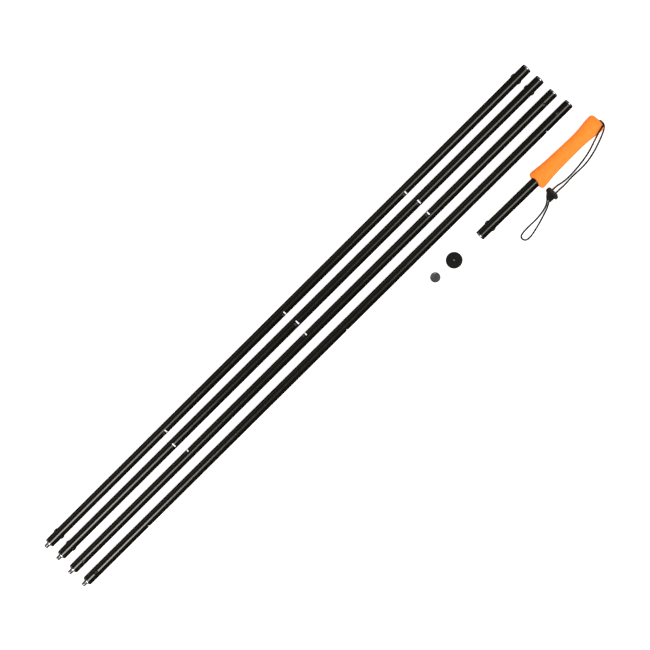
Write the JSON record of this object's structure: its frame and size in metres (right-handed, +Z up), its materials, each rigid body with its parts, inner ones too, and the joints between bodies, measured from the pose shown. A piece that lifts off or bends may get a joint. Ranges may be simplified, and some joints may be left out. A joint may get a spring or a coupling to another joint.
{
  "type": "sectional extension pole set",
  "caption": "Screw-together extension pole laid out in pieces: long black tubes with threaded ends, a short section with an orange grip, lanyard and cord lock, a push pad and a thread cap.",
  "frame": {"origin": "middle of the laid-out set, on the floor it lies on", "axes": "+X along the poles towards their sockets, +Y from the grip section towards section 1, +Z up"},
  "size_m": [1.2405, 0.2302, 0.0349],
  "materials": {
    "black_tube": "semi-gloss black coat",
    "bright_plug": "turned",
    "stud_steel": "bright zinc",
    "black_rivet": "satin black",
    "orange_grip": "matte soft grip",
    "inner_plastic": "matte",
    "cord": "braided",
    "lock_plastic": "satin",
    "button_plastic": "satin",
    "spring_steel": "drawn wire",
    "pad_rubber": "satin moulded",
    "cap_plastic": "gloss moulded",
    "insert_brass": "turned"
  },
  "bodies": {
    "grip_section": {"grip_tube": "black_tube", "grip_socket_plug": "bright_plug", "grip_rivets": "black_rivet", "grip": "orange_grip", "butt_plug": "inner_plastic", "lanyard_knot": "cord", "lanyard_cord": "cord"},
    "section_1": {"section_1_tube": "black_tube", "section_1_stud_plug": "bright_plug", "section_1_stud": "stud_steel", "section_1_socket_plug": "bright_plug", "section_1_rivets": "black_rivet"},
    "section_2": {"section_2_tube": "black_tube", "section_2_stud_plug": "bright_plug", "section_2_stud": "stud_steel", "section_2_socket_plug": "bright_plug", "section_2_rivets": "black_rivet"},
    "section_3": {"section_3_tube": "black_tube", "section_3_stud_plug": "bright_plug", "section_3_stud": "stud_steel", "section_3_socket_plug": "bright_plug", "section_3_rivets": "black_rivet"},
    "section_4": {"section_4_tube": "black_tube", "section_4_stud_plug": "bright_plug", "section_4_stud": "stud_steel", "section_4_socket_plug": "bright_plug", "section_4_rivets": "black_rivet"},
    "lock": {"lock_body": "lock_plastic", "lock_spring": "spring_steel"},
    "plunger": {"lock_plunger": "button_plastic"},
    "pad_end": {"push_pad": "pad_rubber", "push_pad_insert": "insert_brass"},
    "cap_end": {"thread_cap": "cap_plastic", "thread_cap_insert": "insert_brass"}
  },
  "joints": [
    {"name": "section_1_lift", "type": "slide", "parent": "grip_section", "child": "section_1", "axis": [0, 0, 1], "range_m": [0, 0.15]},
    {"name": "section_2_lift", "type": "slide", "parent": "grip_section", "child": "section_2", "axis": [0, 0, 1], "range_m": [0, 0.15]},
    {"name": "section_3_lift", "type": "slide", "parent": "grip_section", "child": "section_3", "axis": [0, 0, 1], "range_m": [0, 0.15]},
    {"name": "section_4_lift", "type": "slide", "parent": "grip_section", "child": "section_4", "axis": [0, 0, 1], "range_m": [0, 0.15]},
    {"name": "push_pad_lift", "type": "slide", "parent": "grip_section", "child": "pad_end", "axis": [0, 0, 1], "range_m": [0, 0.06]},
    {"name": "thread_cap_lift", "type": "slide", "parent": "grip_section", "child": "cap_end", "axis": [0, 0, 1], "range_m": [0, 0.06]},
    {"name": "lock_slide", "type": "slide", "parent": "grip_section", "child": "lock", "axis": [1, 0, 0], "range_m": [0, 0.003]},
    {"name": "plunger_press", "type": "slide", "parent": "lock", "child": "plunger", "axis": [0, 1, 0], "range_m": [0, 0.0018], "stiffness_N_per_m": 1200, "springref_m": -0.0025, "deforming": ["lock_spring"]}
  ]
}
